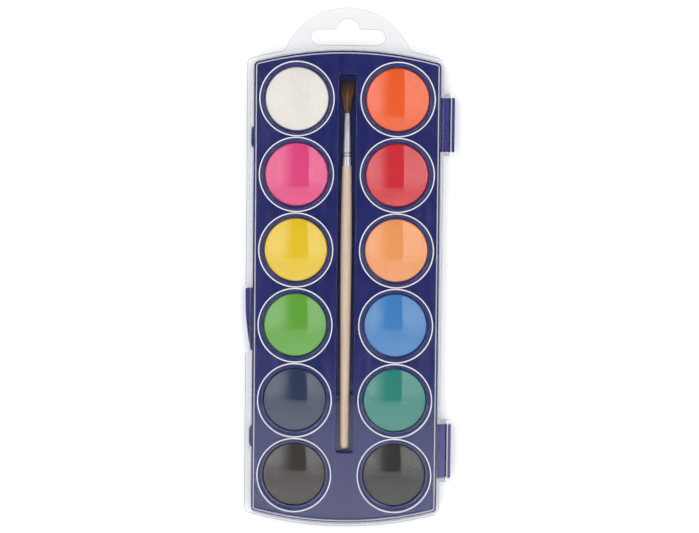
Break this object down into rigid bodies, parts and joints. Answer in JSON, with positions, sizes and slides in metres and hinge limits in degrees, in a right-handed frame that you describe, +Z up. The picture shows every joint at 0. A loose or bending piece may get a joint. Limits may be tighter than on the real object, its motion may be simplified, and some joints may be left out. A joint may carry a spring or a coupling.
{
  "type": "watercolor pan set",
  "caption": "Flat watercolour paint box: moulded tray of round paint cakes and a brush in its trough, under a clear hinged lid with a hang tab.",
  "frame": {"origin": "middle of the tray's length and width, in the plane of the underside that it rests on", "axes": "+Z up out of the wells, +Y along the length towards the hang tab, +X towards the hinge side"},
  "size_m": [0.0915, 0.2291, 0.012],
  "materials": {
    "blue_plastic": "gloss",
    "clear_plastic": "gloss",
    "pale_wood": "satin",
    "bright_metal": "polished",
    "brown_hair": "matte",
    "paint_white": "gloss",
    "paint_orange": "gloss",
    "paint_pink": "gloss",
    "paint_red": "gloss",
    "paint_yellow": "gloss",
    "paint_apricot": "gloss",
    "paint_green": "gloss",
    "paint_blue": "gloss",
    "paint_navy": "gloss",
    "paint_teal": "gloss",
    "paint_brown": "gloss",
    "paint_black": "gloss"
  },
  "bodies": {
    "tray": {"tray": "blue_plastic", "paint_white": "paint_white", "paint_orange": "paint_orange", "paint_pink": "paint_pink", "paint_red": "paint_red", "paint_yellow": "paint_yellow", "paint_apricot": "paint_apricot", "paint_green": "paint_green", "paint_blue": "paint_blue", "paint_navy": "paint_navy", "paint_teal": "paint_teal", "paint_brown": "paint_brown", "paint_black": "paint_black"},
    "lid": {"lid": "clear_plastic"},
    "brush": {"brush_handle": "pale_wood", "brush_ferrule": "bright_metal", "brush_hair": "brown_hair"}
  },
  "joints": [
    {"name": "lid_hinge", "type": "hinge", "parent": "tray", "child": "lid", "pos_m": [0.0454, 0, 0.006], "axis": [0, 1, 0], "range_deg": [0, 180]},
    {"name": "brush_slide", "type": "slide", "parent": "tray", "child": "brush", "axis": [0, 1, 0], "range_m": [-0.0013, 0.0013]}
  ]
}
